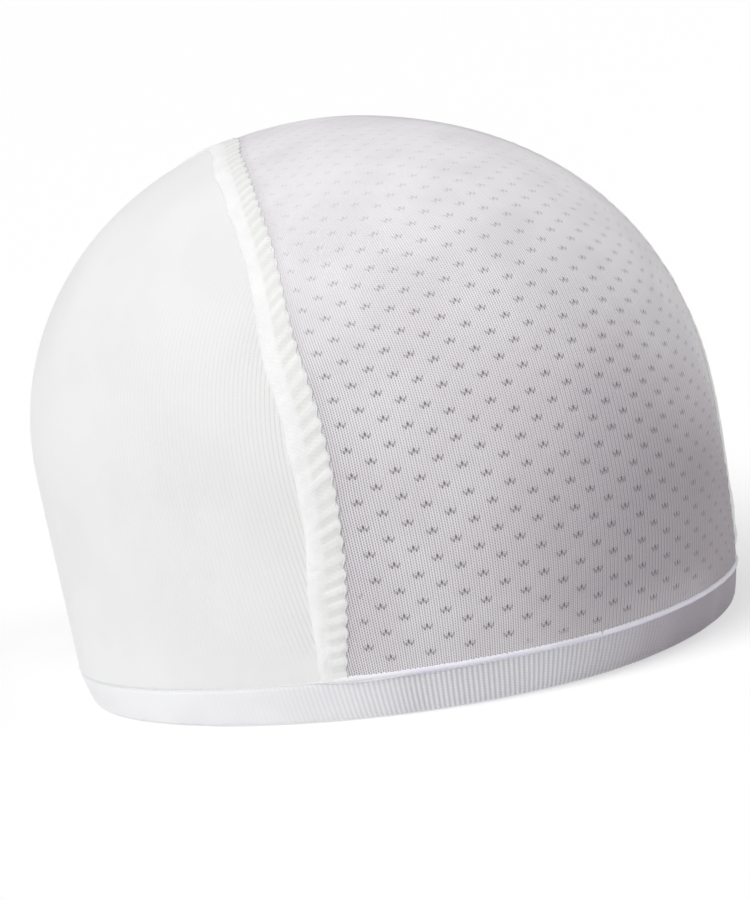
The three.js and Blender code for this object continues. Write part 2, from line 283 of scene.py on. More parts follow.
class Nodes:
    """A material's nodes, made by short calls."""

    def __init__(self, name, roughness, sheen=0.0):
        self.material = bpy.data.materials.new(name)
        self.material.use_nodes = True
        self.tree = self.material.node_tree
        self.shader = self.tree.nodes["Principled BSDF"]
        self.shader.inputs["Roughness"].default_value = roughness
        self.shader.inputs["Sheen Weight"].default_value = sheen
        self.shader.inputs["Sheen Roughness"].default_value = 0.5
        self.shader.inputs["Specular IOR Level"].default_value = 0.25

    def add(self, kind, **settings):
        node = self.tree.nodes.new(kind)
        for key, value in settings.items():
            setattr(node, key, value)
        return node

    def put(self, socket, value):
        if isinstance(value, bpy.types.NodeSocket):
            self.tree.links.new(value, socket)
        else:
            socket.default_value = value

    def math(self, operation, a, b=0.0, c=0.0, clamp=False):
        node = self.add("ShaderNodeMath", operation=operation, use_clamp=clamp)
        for socket, value in zip(node.inputs, (a, b, c)):
            self.put(socket, value)
        return node.outputs[0]

    def uv(self):
        node = self.add("ShaderNodeUVMap", uv_map="knit")
        parts = self.add("ShaderNodeSeparateXYZ")
        self.tree.links.new(node.outputs[0], parts.inputs[0])
        return parts.outputs[0], parts.outputs[1]

    def attribute(self, name):
        return self.add("ShaderNodeAttribute", attribute_name=name).outputs["Fac"]

    def wave(self, value, per_unit):
        return self.math("COSINE", self.math("MULTIPLY", value, 2 * math.pi * per_unit))

    def ramp(self, value, low, high):
        node = self.add("ShaderNodeMapRange", interpolation_type="SMOOTHSTEP")
        self.put(node.inputs["Value"], value)
        node.inputs["From Min"].default_value = low
        node.inputs["From Max"].default_value = high
        return node.outputs[0]

    def noise(self, scale, detail=2.0):
        place = self.add("ShaderNodeTexCoord")
        node = self.add("ShaderNodeTexNoise")
        self.tree.links.new(place.outputs["Object"], node.inputs["Vector"])
        node.inputs["Scale"].default_value = scale
        node.inputs["Detail"].default_value = detail
        return node.outputs["Fac"]

    def mix(self, share, a, b):
        node = self.add("ShaderNodeMix", data_type="RGBA")
        self.put(node.inputs[0], share)
        self.put(node.inputs[6], a)
        self.put(node.inputs[7], b)
        return node.outputs[2]

    def colour(self, value):
        self.put(self.shader.inputs["Base Color"], value)

    def bump(self, height, distance, strength=1.0):
        node = self.add("ShaderNodeBump")
        node.inputs["Distance"].default_value = distance
        node.inputs["Strength"].default_value = strength
        self.put(node.inputs["Height"], height)
        self.put(self.shader.inputs["Normal"], node.outputs[0])


def grey(r, g, b):
    """A colour from sRGB values of 0 to 255."""
    def linear(v):
        v /= 255
        return v / 12.92 if v <= 0.04045 else ((v + 0.055) / 1.055) ** 2.4
    return (linear(r), linear(g), linear(b), 1.0)


def mesh_knit():
    """Fine knit with a pinhole beside each stitch, and five large pinholes in a W at each eyelet.
    The UVs count fine wales across and half rows up."""
    n = Nodes("mesh_knit", 0.88, sheen=0.1)
    u, v = n.uv()
    openness_and_painted_light = n.attribute("open")
    ribbed = n.attribute("ribbed")
    thread = n.wave(u, 1.0)
    rib = n.wave(u, 0.5)
    brick = n.math("MULTIPLY", rib, n.wave(v, COURSES))
    dots = n.math("MULTIPLY", n.ramp(brick, 0.05, 0.9), openness_and_painted_light)
    column = n.math("FLOOR", n.math("MULTIPLY_ADD", u, 1 / WALES, 0.5))
    from_middle = n.math("SUBTRACT", u, n.math("MULTIPLY", column, WALES))
    wale = n.math("ROUND", from_middle)
    across = n.math("SUBTRACT", from_middle, wale)
    reach = n.math("ABSOLUTE", wale)
    raised = n.math("PINGPONG", column, 1.0)
    up = n.math("WRAP", n.math("SUBTRACT", v, raised), 1.0, -1.0)
    along = n.math("MULTIPLY_ADD", n.math("PINGPONG", reach, 1.0), EYELET_DROP, up)
    span = n.math("POWER", n.math("MULTIPLY", across, 1.6), 2.0)
    span = n.math("ADD", span, n.math("POWER", n.math("MULTIPLY", along, 5.6), 2.0))
    size = n.math("MULTIPLY_ADD", reach, -0.26, 1.25)
    pinhole = n.ramp(n.math("SUBTRACT", size, n.math("SQRT", span)), 0.0, 0.9)
    away = n.math("ABSOLUTE", from_middle)
    zigzag = n.math("MULTIPLY_ADD", n.math("PINGPONG", away, 1.0), EYELET_DROP, up)
    stroke = n.ramp(n.math("ABSOLUTE", zigzag), 0.16, 0.02)
    stroke = n.math("MULTIPLY", stroke, n.ramp(away, 2.5, 1.7))
    pinhole = n.math("MAXIMUM", n.math("MULTIPLY", stroke, 0.6), pinhole)
    pinhole = n.math("MULTIPLY", pinhole, n.math("LESS_THAN", reach, 2.5))
    pinhole = n.math("MULTIPLY", pinhole, n.attribute("eyelets"))
    cloudy = n.ramp(n.noise(60.0), 0.35, 0.65)
    yarn = n.mix(cloudy, grey(232, 229, 232), grey(238, 236, 238))
    valley = n.math("MULTIPLY", n.ramp(thread, -0.3, 1.0), n.math("MULTIPLY_ADD", openness_and_painted_light, 0.42, 0.16))
    cloth = n.mix(valley, yarn, grey(176, 170, 177))
    cloth = n.mix(n.math("MULTIPLY", dots, 0.46), cloth, grey(118, 110, 122))
    striped = n.math("MULTIPLY", n.ramp(rib, -0.6, 0.9), ribbed)
    cloth = n.mix(n.math("MULTIPLY", striped, 0.55), cloth, grey(164, 154, 166))
    # Painted shade: the cloth darkens by the deep share, towards the wearer's left and lower down, and in a
    # painted shadow beside the right seam's tape.
    cloth = n.mix(n.math("MULTIPLY", n.attribute("deep"), 0.7), cloth, grey(146, 136, 143))
    n.colour(n.mix(n.math("MULTIPLY", pinhole, 0.88), cloth, grey(112, 104, 110)))
    height = n.math("MULTIPLY_ADD", thread, -0.4, 0.4)
    height = n.math("SUBTRACT", height, n.math("MULTIPLY", dots, 0.8))
    n.bump(n.math("SUBTRACT", height, pinhole), 0.00007)
    return n.material


def jersey():
    """Plain jersey: close upright wales with a fine stitch grain."""
    n = Nodes("jersey", 0.86, sheen=0.1)
    u, v = n.uv()
    clear = n.attribute("clear")
    line = n.math("MULTIPLY", n.ramp(n.wave(u, 1.0), 0.5, 1.0), clear)
    stitch = n.math("MULTIPLY_ADD", n.wave(v, 1.0), 0.25, 0.75)
    line = n.math("MULTIPLY", line, stitch)
    grain = n.math("MULTIPLY", n.wave(u, 2.0), n.wave(v, 1.0))
    cloudy = n.ramp(n.noise(45.0), 0.35, 0.65)
    yarn = n.mix(cloudy, grey(231, 232, 231), grey(234, 235, 234))
    n.colour(n.mix(n.math("MULTIPLY", line, 0.55), yarn, grey(176, 180, 176)))
    height = n.math("SUBTRACT", n.math("MULTIPLY", grain, 0.25), n.math("MULTIPLY", line, 0.8))
    n.bump(height, 0.00005)
    return n.material


def rib_knit():
    """Ribbed knit: the ribs are in the mesh, and the stitches along them are here."""
    n = Nodes("rib_knit", 0.85, sheen=0.1)
    u, v = n.uv()
    ribbed = n.attribute("ribbed")
    furrow = n.math("MULTIPLY", n.ramp(n.wave(u, 1.0), -0.7, 1.0), ribbed)
    rib = n.wave(n.math("ADD", u, 0.5), 0.5)
    stitch = n.ramp(n.math("MULTIPLY", rib, n.wave(v, 1.0)), -0.4, 1.0)
    cloudy = n.ramp(n.noise(50.0), 0.35, 0.65)
    yarn = n.mix(cloudy, grey(234, 234, 237), grey(239, 239, 241))
    # Painted shade in the hollows: the dips between stitches and the furrows between the ribs are painted
    # darker, scaled by the ribbed share.
    cloth = n.mix(n.math("MULTIPLY", n.math("MULTIPLY", stitch, ribbed), 0.16), yarn, grey(170, 168, 178))
    cloth = n.mix(n.math("MULTIPLY", furrow, 0.5), cloth, grey(168, 166, 178))
    # Painted shade: the cloth darkens by the deep share, towards the wearer's left and the front.
    n.colour(n.mix(n.math("MULTIPLY", n.attribute("deep"), 0.8), cloth, grey(160, 151, 161)))
    n.bump(n.math("MULTIPLY", n.math("MULTIPLY", stitch, ribbed), -1.0), 0.00004)
    return n.material


def piping_knit():
    """Rolled bead: on the mesh, whiter on top and darker and lilac where it turns under, a painted shade;
    plain on the jersey.
    """
    n = Nodes("piping_knit", 0.8, sheen=0.1)
    u, v = n.uv()
    under = n.ramp(n.attribute("under"), 0.35, 0.8)
    yarn = n.mix(n.ramp(n.noise(70.0), 0.35, 0.65), grey(232, 230, 239), grey(240, 238, 246))
    yarn = n.mix(n.attribute("on_mesh"), grey(235, 236, 237), yarn)
    # Painted shade: darker and lilac on the bead's underside.
    n.colour(n.mix(n.math("MULTIPLY", under, 0.75), yarn, grey(186, 182, 208)))
    twist = n.math("COSINE", n.math("MULTIPLY", n.math("ADD", u, v), 2 * math.pi))
    n.bump(twist, 0.00005)
    return n.material


def folded_cloth():
    """Cloth edge rolled under the seam, a little greyer between the rungs on the flat allowance."""
    n = Nodes("folded_cloth", 0.85, sheen=0.15)
    u, v = n.uv()
    cloudy = n.ramp(n.noise(160.0, 4.0), 0.3, 0.7)
    cloth = n.mix(cloudy, grey(239, 240, 239), grey(245, 245, 245))
    n.colour(n.mix(n.math("MULTIPLY", n.attribute("flat"), 0.6), cloth, grey(219, 220, 216)))
    grain = n.math("MULTIPLY", n.wave(u, 1.0), n.wave(v, 1.0))
    n.bump(n.math("MULTIPLY_ADD", n.noise(700.0, 3.0), 3.0, grain), 0.00003)
    return n.material


def seam_thread():
    """Soft overlocking thread: fine plies along each strand."""
    n = Nodes("seam_thread", 0.8, sheen=0.3)
    u, v = n.uv()
    plies = n.wave(v, 5.0)
    cloudy = n.ramp(n.noise(120.0), 0.3, 0.7)
    n.colour(n.mix(cloudy, grey(236, 237, 236), grey(243, 243, 243)))
    n.bump(n.math("MULTIPLY_ADD", n.noise(900.0, 3.0), 3.0, plies), 0.00004)
    return n.material


# Meshes

def make_piece(name, points, faces, uvs, material, values=None):
    """A smooth mesh from points in millimetres, faces and a UV pair for each point."""
    data = bpy.data.meshes.new(name)
    data.from_pydata([tuple(p) for p in to_frame(points)], [], faces)
    layer = data.uv_layers.new(name="knit")
    corners = np.zeros(len(data.loops), np.int32)
    data.loops.foreach_get("vertex_index", corners)
    layer.data.foreach_set("uv", np.asarray(uvs, np.float32)[corners].ravel())
    for key, numbers in (values or {}).items():
        attribute = data.attributes.new(key, "FLOAT", "POINT")
        attribute.data.foreach_set("value", np.asarray(numbers, np.float32))
    data.polygons.foreach_set("use_smooth", [True] * len(data.polygons))
    data.materials.append(material)
    piece = bpy.data.objects.new(name, data)
    bpy.context.scene.collection.objects.link(piece)
    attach(piece, "root")
    return piece


def grid_faces(rows, columns, start=0, loop_rows=False, loop_columns=False):
    """Quads of a grid of points, wrapped round where asked."""
    faces = []
    for i in range(rows if loop_rows else rows - 1):
        for j in range(columns if loop_columns else columns - 1):
            a = start + i * columns + j
            b = start + i * columns + (j + 1) % columns
            c = start + (i + 1) % rows * columns + (j + 1) % columns
            d = start + (i + 1) % rows * columns + j
            faces.append((a, b, c, d))
    return faces


def outward(faces, points):
    """The same faces, turned so that most face away from the dome's centre."""
    sample = np.array([f[:3] for f in faces[:: max(1, len(faces) // 500)]])
    a, b, c = (points[sample[:, k]] for k in range(3))
    facing = np.sum(np.cross(b - a, c - a) * (a - DOME_CENTRE), -1)
    return faces if np.median(facing) > 0 else [tuple(reversed(f)) for f in faces]


def wall(outer, inner, uvs):
    """A closed wall from two grids of the same size, with the edges joined."""
    rows, columns = outer.shape[:2]
    points = np.concatenate([outer.reshape(-1, 3), inner.reshape(-1, 3)])
    shell = outward(grid_faces(rows, columns), points)
    flipped = shell[0] != grid_faces(2, columns)[0]
    count = rows * columns
    faces = shell + [tuple(count + k for k in reversed(f)) for f in shell]
    ring = [j for j in range(columns)]
    ring += [i * columns + columns - 1 for i in range(1, rows)]
    ring += [(rows - 1) * columns + j for j in range(columns - 2, -1, -1)]
    ring += [i * columns for i in range(rows - 2, 0, -1)]
    for a, b in zip(ring, ring[1:] + ring[:1]):
        side = (a, count + a, count + b, b)
        faces.append(tuple(reversed(side)) if flipped else side)
    return points, faces, np.concatenate([uvs, uvs])


# Centre strip

def strip_columns(angle):
    """Eyelet columns from the middle to the right seam at an angle over the head."""
    away = np.clip(1 - np.minimum(angle, math.pi - angle) / math.radians(RIM_FLARE), 0, 1.3)
    return COLUMNS_AT_CROWN + (COLUMNS_AT_RIM - COLUMNS_AT_CROWN) * away ** 1.3


def strip_x(column, angle):
    """Straight sideways distance of an eyelet column."""
    share = (column - CENTRE_COLUMN) / strip_columns(angle)
    half = (seam_x(-1, angle) ** 6 + COLUMN_SPREAD ** 6) ** (1 / 6)
    return HALF_WIDTH * np.sin(np.arcsin(half / HALF_WIDTH) * share)


def mesh_grid():
    """Angle over the head for each fine wale and row of points, by the true length up each column."""
    wales = np.arange(round(FIRST_COLUMN * WALES), round(LAST_COLUMN * WALES) + 1)
    rows = np.arange(-2 * MESH_ROWS, HALF_ROWS * MESH_ROWS + 1)
    columns = wales / WALES
    sweep = np.radians(np.linspace(-14, 194, 521))
    a, c = np.meshgrid(sweep, columns)
    line = dip_rim(hit_dome(DOME_CENTRE, direction_at(strip_x(c, a), a)))
    steps = np.linalg.norm(np.diff(line, axis=1), axis=2)
    length = np.concatenate([np.zeros((len(columns), 1)), np.cumsum(steps, axis=1)], axis=1)
    at_rim = np.array([np.interp(0.0, sweep, row) for row in length])
    climb = rows / MESH_ROWS
    closing = np.minimum(climb, CLOSING_ROWS)
    lost = ROW_CLOSING * closing * (climb - closing / 2)
    start = read_table(columns, ROW_COLUMNS, ROW_START)
    up = start[:, None] + read_table(columns, ROW_COLUMNS, ROW_PITCH)[:, None] * climb - lost
    angles = np.array([np.interp(up[k] + at_rim[k], length[k], sweep) for k in range(len(wales))])
    return wales, rows, columns, up, angles


def beside_edges(x, angles, distance):
    """True where a point lies between lines this far inside the two seams."""
    return (x > seam_x(-1, angles, -distance)) & (x < seam_x(1, angles, -distance))


def mesh_strip():
    wales, rows, columns, up, angles = mesh_grid()
    x = strip_x(columns[:, None], angles)
    foot_front, foot_back = strip_foot(x)
    inside = beside_edges(x, angles, 0.0) & (angles > foot_front) & (angles < foot_back)
    near = inside.copy()
    for i in (-1, 0, 1):
        for j in (-1, 0, 1):
            near |= np.roll(np.roll(inside, i, 0), j, 1)
    x = np.clip(x, seam_x(-1, angles), seam_x(1, angles))
    foot_front, foot_back = strip_foot(x)
    angles = np.clip(angles, foot_front, foot_back)
    x = np.clip(x, seam_x(-1, angles), seam_x(1, angles))
    keep = np.argwhere(near)
    number = np.full(near.shape, -1)
    number[near] = np.arange(len(keep))
    face, normal = face_and_normal(direction_at(x[near], angles[near]))
    w, r = wales[keep[:, 0]], rows[keep[:, 1]]
    from_seams = np.minimum(x[near] - seam_x(-1, angles[near]), seam_x(1, angles[near]) - x[near])
    shown = smooth((up[near] - 1.0) / 1.5) * smooth((from_seams - 4.4) / 1.2)
    shown *= eyelet_depth(x[near], angles[near])
    eyelet = eyelet_share(w, r) * shown
    ridge = np.where(w % 2 == 0, -WALE_HEIGHT, WALE_HEIGHT) * inside[near]
    to_foot = np.minimum(angles[near] - foot_front[near], foot_back[near] - angles[near])
    flare = FOOT_FLARE * np.exp(-to_foot / 0.02) * smooth((from_seams - 4.4) / 2)
    points = face + normal * (ridge - EYELET_DEPTH * eyelet + flare)[:, None]
    a, b = number[:-1, :-1], number[1:, :-1]
    c, d = number[1:, 1:], number[:-1, 1:]
    whole = (a >= 0) & (b >= 0) & (c >= 0) & (d >= 0)
    some = inside[:-1, :-1] | inside[1:, :-1] | inside[1:, 1:] | inside[:-1, 1:]
    quads = np.stack([a, b, c, d], -1)[whole & some]
    values = np.stack([w, r / MESH_ROWS, shown, *stretch(x[near], angles[near])], -1)
    return welded(points, quads, values, 0.03)


def eyelet_depth(x, angles):
    """How deep and dark the eyelets are drawn: shallower and fainter over the crown, a painted highlight,
    and on the wearer's left.
    """
    over = np.degrees(np.minimum(angles, math.pi - angles))
    at_crown = mix(1.0, 0.2, fade(over, 34, 72))
    return at_crown * mix(1.0, 0.6, fade(x, 8, 48))


def stretch(x, angles):
    """How open the fine knit is drawn, how ribbed, and how much painted shade it takes, over the strip."""
    over = np.degrees(np.minimum(angles, math.pi - angles))
    to_left = fade(x, 2, 46)
    near_crown = fade(over, 40, 70)
    # How open the knit's dots and gaps are drawn: not at all over the crown, a painted highlight; less
    # towards the wearer's left; more beside the right seam; and more lower down, a painted shade.
    beside_seam = smooth((seam_x(-1, angles, -16) - x) / 9)
    openness_and_painted_light = (1 - near_crown) * mix(1.0, 0.25, to_left) * mix(1.0, 1.3, beside_seam)
    openness_and_painted_light *= mix(0.84, 1.05, fade(over, 46, 12))
    low = fade(over, 56, 22)
    # Painted shade: darker towards the wearer's left and lower down, with less of it just above the bead as
    # a painted lighter rim, and a painted shadow beside the right seam's tape.
    above_bead = mix(mix(0.65, 1.0, fade(x, 30, 50)), 1.0, fade(over, 0, 7))
    ribbed = mix(0.25, 1.0, fade(x, -20, 14)) * low
    deep = read_table(x, PAINTED_SHADE_X, PAINTED_SHADE_SHARE) * fade(over, 42, 16)
    shade = 0.25 * smooth((seam_x(-1, angles, -7) - x) / 3)
    return openness_and_painted_light, ribbed, np.maximum(deep, shade) * above_bead


def strip_foot(x):
    """Angles at which the strip ends under the piping, front and back."""
    flat = np.zeros_like(x)
    origin = np.stack([x, flat, flat + BAND_LINE], -1)
    forward = np.stack([flat, flat - 1, flat], -1)
    front = hit_dome(origin, forward)[..., 1]
    back = hit_dome(origin, -forward)[..., 1]
    drop = BAND_LINE - DOME_FOOT
    return np.arctan2(drop, -front), math.pi - np.arctan2(drop, back)


def eyelet_share(wale, row):
    """1 at each large pinhole: three above and two below between them make a W."""
    found = np.zeros(len(wale))
    for half in (0, 1):
        across = (wale - half * WALES + WALES) % (2 * WALES) - WALES
        along = (row - half * MESH_ROWS + MESH_ROWS) % (2 * MESH_ROWS) - MESH_ROWS
        upper = (along == 0) & np.isin(across, (-2, 0, 2))
        lower = (along == -1) & np.isin(across, (-1, 1))
        found[upper | lower] = 1
    return found


def welded(points, quads, values, distance):
    """Joins points that lie together and drops the faces that this empties."""
    keys = np.round(points / distance).astype(np.int64)
    _, first, back = np.unique(keys, axis=0, return_index=True, return_inverse=True)
    back = back.ravel()
    faces = []
    for quad in back[quads]:
        ring = [int(k) for i, k in enumerate(quad) if k != quad[i - 1]]
        if len(set(ring)) == len(ring) and len(ring) > 2:
            faces.append(tuple(ring))
    return points[first], faces, values[first]


def lining(start):
    """Inner face of the strip, a coarser grid one thickness inside."""
    rows, columns = LINING_ROWS, LINING_COLUMNS
    along, across = np.meshgrid(np.linspace(0, 1, rows), np.linspace(0, 1, columns), indexing="ij")
    angles = math.pi * along
    for _ in range(3):
        x = mix(seam_x(-1, angles), seam_x(1, angles), across)
        foot_front, foot_back = strip_foot(x)
        angles = mix(foot_front, foot_back, along)
    face, normal = face_and_normal(direction_at(x, angles))
    points = (face - normal * MESH_THICKNESS).reshape(-1, 3)
    return points, grid_faces(rows, columns, start)


def close_edge(piece):
    """Joins the edges of a piece's outer and inner faces."""
    work = bmesh.new()
    work.from_mesh(piece.data)
    bmesh.ops.bridge_loops(work, edges=[edge for edge in work.edges if edge.is_boundary])
    work.to_mesh(piece.data)
    work.free()


# Side panels

def side_directions(sign, along, down):
    """Directions to a side panel's points, from its seam down to the rim."""
    angle = math.pi * along
    seam = direction_at(seam_x(sign, angle), angle)
    bearing = np.arctan2(sign * seam[..., 0], -seam[..., 1])
    turn = mix(bearing[0, 0], bearing[-1, 0], along)
    foot = (BAND_LINE - DOME_FOOT) / HALF_WIDTH
    rim = unit(np.stack([sign * np.sin(turn), -np.cos(turn), np.full_like(turn, foot)], -1))
    return unit(mix(seam, rim, down[..., None]))


def run_along(points):
    """Length up to each point of a path, or of each path in a grid."""
    steps = np.linalg.norm(np.diff(points, axis=-2), axis=-1)
    return np.concatenate([np.zeros((*steps.shape[:-1], 1)), np.cumsum(steps, axis=-1)], axis=-1)


def wale_count(y):
    """Which upright wale of the jersey a point lies on: even steps round the widest level."""
    turn = np.linspace(0, math.pi, 721)
    side, front, back, centre = outline_at(np.array(WIDE_HEIGHT))
    reach = np.where(np.cos(turn) > 0, front, back)
    size = (np.sin(turn) / side) ** PLAN_ROUND + (np.abs(np.cos(turn)) / reach) ** PLAN_ROUND
    radius = size ** (-1 / PLAN_ROUND)
    level = np.stack([np.sin(turn) * radius, centre - np.cos(turn) * radius], -1)
    return np.interp(y, level[:, 1], run_along(level)) / JERSEY_WALE


def side_panel(name, sign):
    rows, columns = PANEL_ROWS, PANEL_COLUMNS
    along, down = np.meshgrid(np.linspace(0, 1, rows), np.linspace(0, 1, columns), indexing="ij")
    face, normal = face_and_normal(side_directions(sign, along, down))
    from_seam = run_along(face)
    from_rim = from_seam[:, -1:] - from_seam
    pucker = np.sin(2 * math.pi * run_along(face[:, 0]) / RUNG_PITCH)
    pucker = PUCKER * pucker[:, None] * np.exp(-((from_seam - 5.5) / 2) ** 2)
    tuck = 0.1 * np.exp(-from_rim)
    outer = face + normal * (pucker - tuck)[..., None]
    inner = face - normal * JERSEY_THICKNESS
    leaning = face[..., 1] - JERSEY_LEAN * (face[..., 2] - WIDE_HEIGHT)
    uvs = np.stack([wale_count(leaning), from_rim / JERSEY_COURSE], -1).reshape(-1, 2)
    points, faces, uvs = wall(outer, inner, uvs)
    clear = mix(0.12, 1.0, np.exp(-from_seam / 20)) * fade(from_rim, 4, 14)
    clear *= fade(face[..., 2], 110, 80)
    return make_piece(name, points, faces, uvs, JERSEY, {"clear": np.tile(clear.ravel(), 2)})


JERSEY = jersey()

strip_points, strip_faces, strip_values = mesh_strip()
strip_faces = outward(strip_faces, strip_points)
lining_points, lining_faces = lining(len(strip_points))
joined = np.concatenate([strip_points, lining_points])
lining_faces = [tuple(reversed(face)) for face in outward(lining_faces, joined)]
plain = np.zeros((len(lining_points), strip_values.shape[1]))
strip_values = np.concatenate([strip_values, plain])
# The deep attribute carries painted shade.
strip = make_piece("mesh_panel_cloth", joined, strip_faces + lining_faces, strip_values[:, :2], mesh_knit(),
                   dict(zip(("eyelets", "open", "ribbed", "deep"), strip_values[:, 2:].T)))
close_edge(strip)
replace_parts(strip, "mesh_panel")
right = side_panel("side_panel_right_cloth", -1)
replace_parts(right, "side_panel_right")
left = side_panel("side_panel_left_cloth", 1)
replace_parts(left, "side_panel_left")


# Rim

def rim_outline(turn, height):
    """Points of the outline at bearings and heights, and the way out there."""
    side, front, back, centre = outline_at(height)

    def on(t):
        x, y = np.sin(t), -np.cos(t)
        reach = np.where(y < 0, front, back)
        size = (np.abs(x) / side) ** PLAN_ROUND + (np.abs(y) / reach) ** PLAN_ROUND
        radius = size ** (-1 / PLAN_ROUND)
        return np.stack([x * radius, y * radius + centre, height + 0 * t], -1)

    tangent = unit(on(turn + SLOPE_STEP) - on(turn - SLOPE_STEP))
    return on(turn), np.stack([tangent[..., 1], -tangent[..., 0], 0 * tangent[..., 0]], -1)


def rim_point(turn, height, depth):
    place, way_out = rim_outline(turn, height)
    return dip_rim(place - way_out * depth[..., None])


def even_turns(count, height):
    """Bearings at even steps round the rim."""
    turn = np.linspace(0, 2 * math.pi, 2881)
    run = run_along(rim_point(turn, np.full_like(turn, height), np.zeros_like(turn)))
    return np.interp(np.linspace(0, run[-1], count, endpoint=False), run, turn), run[-1]


def waver(turn, waves, size):
    """A soft irregular swing round the rim, of a given size."""
    total = np.zeros_like(turn)
    for k in waves:
        total += rng.normal() * np.cos(k * turn + rng.uniform(0, 2 * math.pi))
    return size * total / math.sqrt(len(waves))


def band():
    """Ribbed band: ribs stand up its face, and its lower edge turns under."""
    _, run = even_turns(8, BAND_LINE / 2)
    ribs = round(run / RIB_PITCH)
    turn, _ = even_turns(ribs * RIB_POINTS, BAND_LINE / 2)
    lean = waver(turn, range(3, 20), 0.002)
    turned = BAND_THICKNESS + NAPE_DIP * nape_share(np.sin(turn), -np.cos(turn))
    top = BAND_LINE - 0.05
    section = [(0.0, h) for h in np.linspace(top, BAND_EDGE, 9)]
    for t in np.linspace(0, math.pi / 2, 6)[1:]:
        section.append((BAND_EDGE * (1 - math.cos(t)), BAND_EDGE * (1 - math.sin(t))))
    phase = np.arange(ribs * RIB_POINTS) / RIB_POINTS
    across = rim_point(turn, np.full_like(turn, top), np.zeros_like(turn))
    # The ribs stand lower towards the wearer's right, and the painted shade in their furrows fades with
    # them.
    ribbed = mix(0.06, 1.0, fade(across[:, 0], -70, -34))
    rib = -RIB_HEIGHT * ribbed * np.cos(2 * math.pi * phase) * (1 + waver(turn, range(20, 60, 3), 0.3))
    rows = []
    for depth, height in section:
        soft = min(1.0, (top - height) / 1.5 + 0.15)
        deep = depth - rib * soft * (1 if depth < BAND_EDGE - 0.2 else 0.4)
        rows.append(rim_point(turn + lean * (1 - height / top), np.full_like(turn, height), deep))
    for share, height in ((0.45, 0.0), (1.0, 0.3), (1.0, BAND_THICKNESS)):
        rows.append(rim_point(turn, np.full_like(turn, height), mix(BAND_EDGE, turned, share)))
    for height in (BAND_THICKNESS + BAND_EDGE, top):
        rows.append(rim_point(turn, np.full_like(turn, height), np.full_like(turn, BAND_THICKNESS)))
    grid = np.stack(rows)
    faces = grid_faces(len(rows), len(turn), loop_rows=True, loop_columns=True)
    points = grid.reshape(-1, 3)
    v = run_along(grid[:, 0]) / RIB_STITCH
    uvs = np.stack([np.tile(phase, len(rows)), np.repeat(v, len(turn))], -1)
    a, b, c = (points[[f[k] for f in faces[: len(turn)]]] for k in range(3))
    facing = np.sum(np.cross(b - a, c - a) * (a - [0, 0, a[0, 2]]), -1)
    if np.median(facing) < 0:
        faces = [tuple(reversed(f)) for f in faces]
    # Painted shade: the band darkens towards the wearer's left and the front.
    deep = fade(across[:, 0], -26, 34) * fade(across[:, 1], 10, -30)
    piece = make_piece("rib_band_cloth", points, faces, uvs, rib_knit(),
                       {"ribbed": np.tile(ribbed, len(rows)), "deep": np.tile(deep, len(rows))})
    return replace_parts(piece, "rib_band")


def piping():
    """Rolled bead, fuller under the mesh knit than under the jersey."""
    turn, run = even_turns(BEAD_STATIONS, BAND_LINE)
    place = rim_point(turn, np.full_like(turn, BAND_LINE), np.zeros_like(turn))
    half = np.where(place[:, 1] < 0, STRIP_FRONT_HALF, STRIP_BACK_HALF)
    on_mesh = smooth((half + 3 - np.abs(place[:, 0] - STRIP_SET_OVER)) / 20)
    fuller = smooth((half + 5 - np.abs(place[:, 0] - STRIP_SET_OVER)) / 9)
    radius = mix(0.42, 0.92, fuller)
    depth = mix(0.43, 0.25, fuller)
    length = np.arange(len(turn)) / len(turn) * run
    rows, under = [], []
    for k in range(BEAD_SIDES):
        a = 2 * math.pi * k / BEAD_SIDES
        lump = 1 + 0.09 * np.cos(2 * math.pi * length / BEAD_TWIST + a) + waver(turn, range(30, 90, 3), 0.05)
        height = BAND_LINE + radius * lump * math.sin(a)
        rows.append(rim_point(turn, height, depth - radius * lump * math.cos(a)))
        # under is 1 on the bead's underside, where the painted shade goes.
        under.append(np.full(len(turn), 0.5 - 0.5 * math.sin(a + 0.35)))
    points = np.stack(rows).reshape(-1, 3)
    faces = grid_faces(BEAD_SIDES, len(turn), loop_rows=True, loop_columns=True)
    faces = [tuple(reversed(f)) for f in faces]
    v = np.repeat(np.arange(BEAD_SIDES) / BEAD_SIDES, len(turn))
    uvs = np.stack([np.tile(length / BEAD_TWIST, BEAD_SIDES), v], -1)
    on_mesh = np.tile(on_mesh, BEAD_SIDES)
    piece = make_piece("rim_piping_bead", points, faces, uvs, piping_knit(),
                       {"under": np.concatenate(under) * on_mesh, "on_mesh": on_mesh})
    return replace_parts(piece, "rim_piping")


band()
piping()


# Seams

THREAD = seam_thread()
FOLD = folded_cloth()


def seam_frame(sign, stations):
    """Angles at even steps along a seam, the length up to each and the tape's width there."""
    angle = np.linspace(-SEAM_PAST_RIM, math.pi + SEAM_PAST_RIM, SEAM_SAMPLES)
    run = run_along(dip_rim(hit_dome(DOME_CENTRE, direction_at(seam_x(sign, angle), angle))))
    at = np.linspace(0, run[-1], stations)
    angle = np.interp(at, run, angle)
    over = np.degrees(np.clip(np.minimum(angle, math.pi - angle), 0, None))
    return angle, at, mix(TAPE_WIDTH, TAPE_WIDTH_RIM, np.exp(-over / TAPE_WIDENS)), over


def seam_points(sign, angle, across, height):
    """Points beside a seam: across is millimetres towards the side panel."""
    face, normal = face_and_normal(direction_at(seam_x(sign, angle, across), angle))
    return face + normal * height[..., None]


